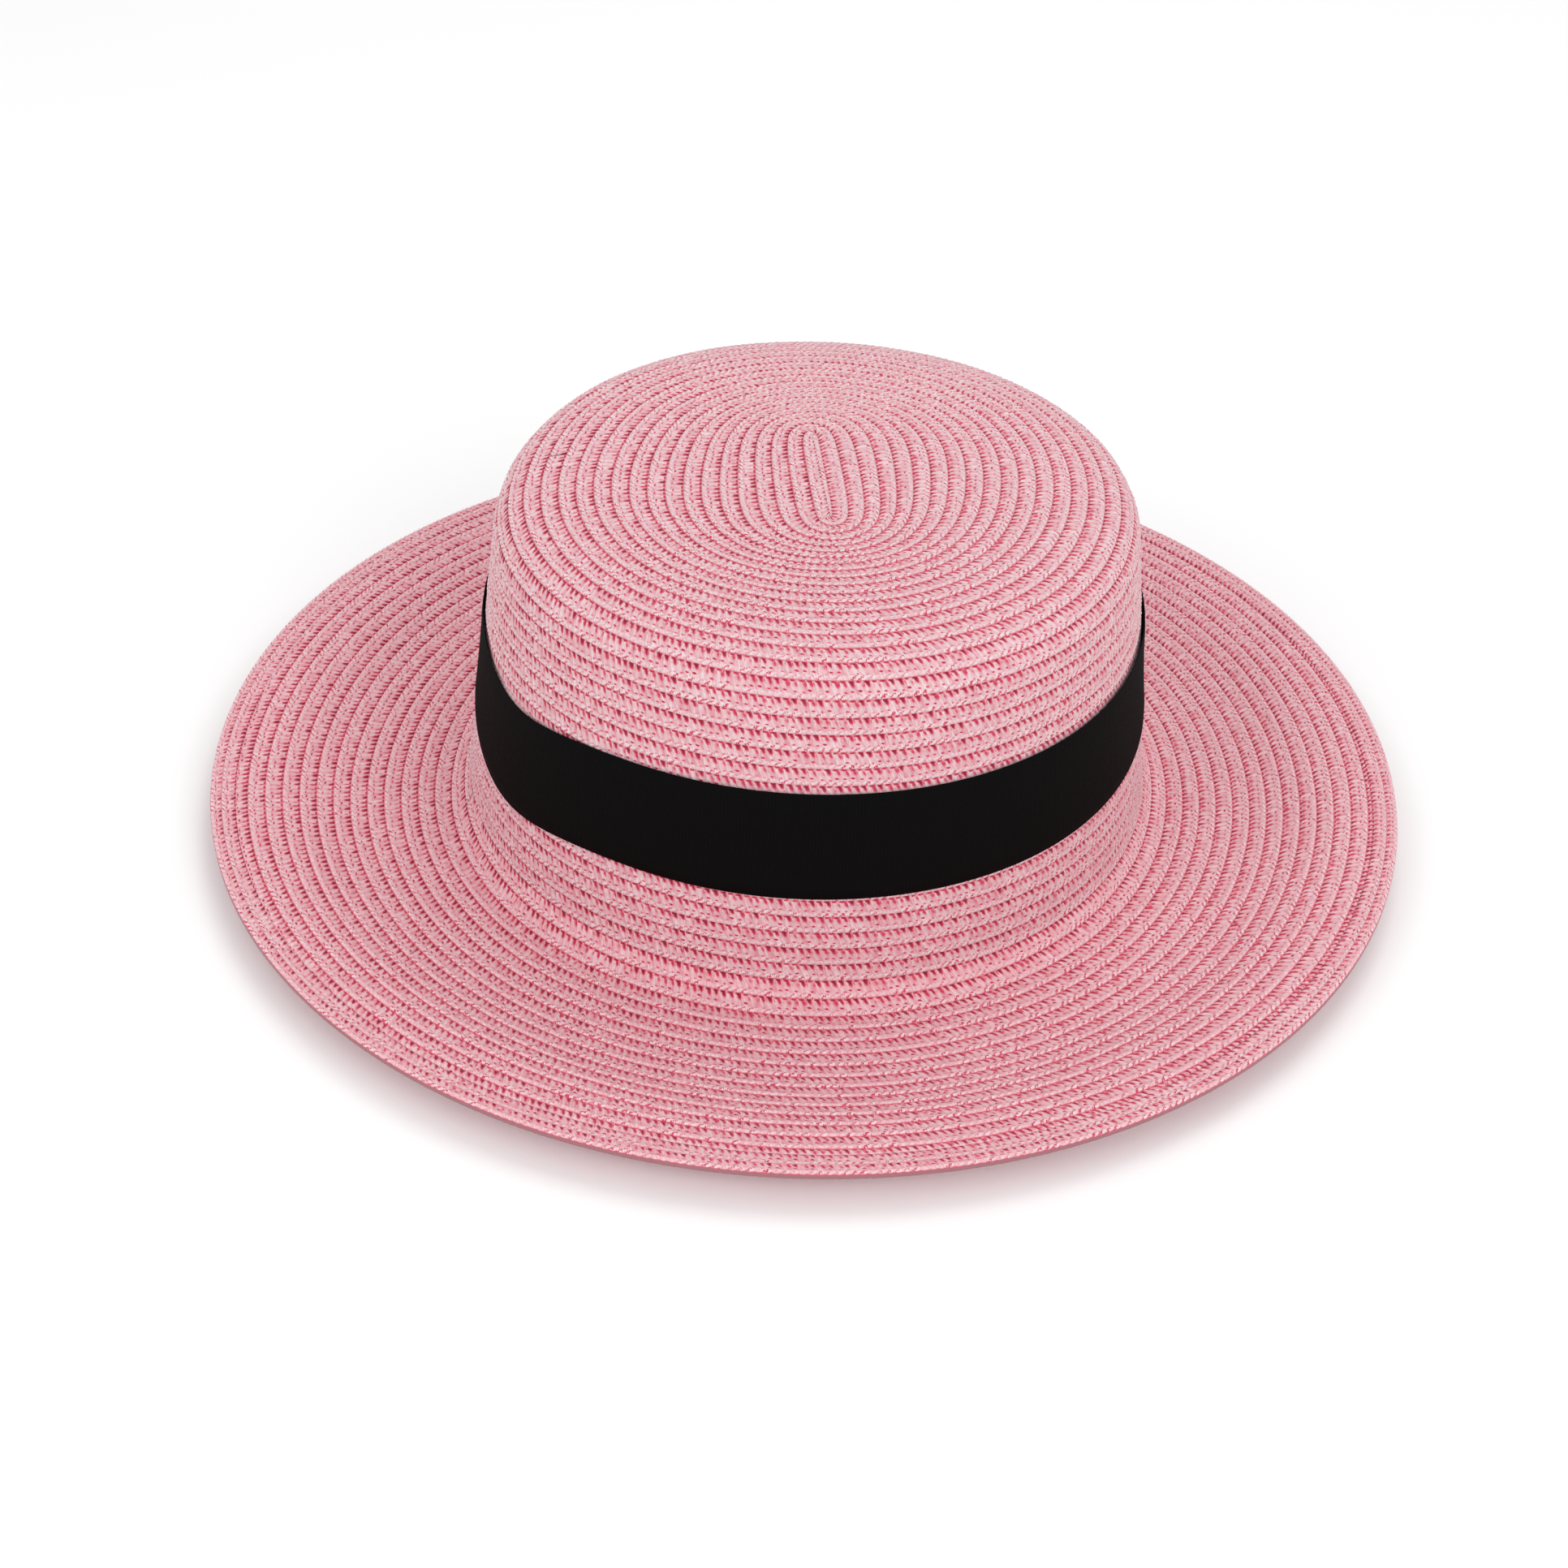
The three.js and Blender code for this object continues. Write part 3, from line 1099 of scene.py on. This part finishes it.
@dataclass(frozen=True)
class Studio:
    """A pale floor, soft light and the camera at the photograph's angle.

    Attributes:
        image_side: Side of the square image, in pixels.
        focal_pixels: Focal length, in the same pixels.
        distance: From the camera to the point that it is aimed from.
        elevation: Angle of the camera over the floor.
        azimuth: Angle of the camera round the hat, from the front towards +X.
        roll: Turn of the picture.
        aim_height: Height of the point on the hat's axis that the picture's centre is measured from.
        centre_x: Where that point lies right of the image's middle, in pixels.
        centre_y: Where that point lies above the image's middle, in pixels.
        sensor: Width of the camera's sensor, in millimetres.
        floor_reach: How far the floor reaches to each side.
        lit_height: Height of the point that the lamps face.
    """

    image_side: float = 1932.0
    focal_pixels: float = 3216.5
    distance: float = 0.6803
    elevation: float = math.radians(32.15)
    azimuth: float = math.radians(5.53)
    roll: float = math.radians(2.68)
    aim_height: float = 0.04635
    centre_x: float = 37.0
    centre_y: float = 193.2
    sensor: float = 36.0
    floor_reach: float = 6.0
    lit_height: float = 0.05

    def build(self) -> None:
        """Sets up the floor, the light and the camera."""
        self.floor()
        self.light()
        self.camera()

    def floor(self) -> None:
        """Lays a large pale floor under the hat."""
        far = self.floor_reach
        corners = [(-far, -far, 0), (far, -far, 0), (far, far, 0), (-far, far, 0)]
        mesh = bpy.data.meshes.new("floor")
        mesh.from_pydata(corners, [], [(0, 1, 2, 3)])
        floor = bpy.data.objects.new("floor", mesh)
        bpy.context.scene.collection.objects.link(floor)
        nodes = Nodes("pale floor")
        grain = nodes.noise(nodes.object_place(), 3.0)
        tint = nodes.mix(grain, (0.95, 0.95, 0.95, 1), (0.97, 0.97, 0.97, 1))
        nodes.link(tint, nodes.shader.inputs["Base Color"])
        nodes.shader.inputs["Roughness"].default_value = 0.9
        nodes.shader.inputs["Specular IOR Level"].default_value = 0.1
        floor.data.materials.append(nodes.material)

    def light(self) -> None:
        """Lights the scene with a bright surround and three large soft lamps."""
        scene = bpy.context.scene
        world = bpy.data.worlds.new("studio")
        scene.world = world
        world.use_nodes = True
        background = world.node_tree.nodes["Background"]
        background.inputs["Color"].default_value = (1.0, 1.0, 1.0, 1.0)
        background.inputs["Strength"].default_value = 0.76
        for lamp in LAMPS:
            data = bpy.data.lights.new(lamp.name, "AREA")
            data.energy = lamp.power
            data.size = lamp.size
            lamp_object = bpy.data.objects.new(lamp.name, data)
            toward = Vector((0, 0, self.lit_height)) - Vector(lamp.place)
            turn = toward.to_track_quat("-Z", "Y").to_matrix().to_4x4()
            lamp_object.matrix_world = Matrix.Translation(lamp.place) @ turn
            scene.collection.objects.link(lamp_object)
        scene.view_settings.view_transform = "Standard"

    def camera(self) -> None:
        """Stands the camera where the photograph was taken from."""
        scene = bpy.context.scene
        data = bpy.data.cameras.new("camera")
        data.sensor_fit = "HORIZONTAL"
        data.sensor_width = self.sensor
        data.lens = self.focal_pixels / self.image_side * self.sensor
        data.shift_x = -self.centre_x / self.image_side
        data.shift_y = -self.centre_y / self.image_side
        data.clip_start = 0.05
        camera = bpy.data.objects.new("camera", data)
        level = math.cos(self.elevation)
        sideways, forwards = level * math.sin(self.azimuth), -level * math.cos(self.azimuth)
        view = Vector((sideways, forwards, math.sin(self.elevation)))
        place = Vector((0, 0, self.aim_height)) + self.distance * view
        turn = view.to_track_quat("Z", "Y").to_matrix().to_4x4()
        camera.matrix_world = Matrix.Translation(place) @ turn @ Matrix.Rotation(self.roll, 4, "Z")
        scene.collection.objects.link(camera)
        scene.camera = camera


def main() -> None:
    """Loads the frame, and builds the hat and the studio."""
    logging.basicConfig(level=logging.INFO, format="%(message)s")
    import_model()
    form = HatForm(BoaterSizes())
    # The slit, deep and edge colours are painted shade: in the gaps between strands, in the deepest gaps,
    # and on the rim's outer side
    braid = {
        "slit": linear(204, 56, 88),
        "deep": linear(140, 14, 46),
        "edge": linear(158, 102, 109),
        "slant": Spiral.slant / Spiral.stitch,
    }
    # Crown and brim are one straw; the two copies' colours differ a little as painted light, for the
    # different light that falls on each
    crown_straw = StrawFinish("crown straw", linear(212, 144, 154), linear(231, 211, 214), **braid)
    brim_straw = StrawFinish("brim straw", linear(219, 142, 153), linear(236, 206, 210), **braid)
    StrawShell(form, crown_straw, brim_straw).build()
    RibbonBand(form, RibbonFinish("grosgrain ribbon", linear(8, 8, 8))).build()
    Studio().build()


if __name__ == "__main__":
    main()
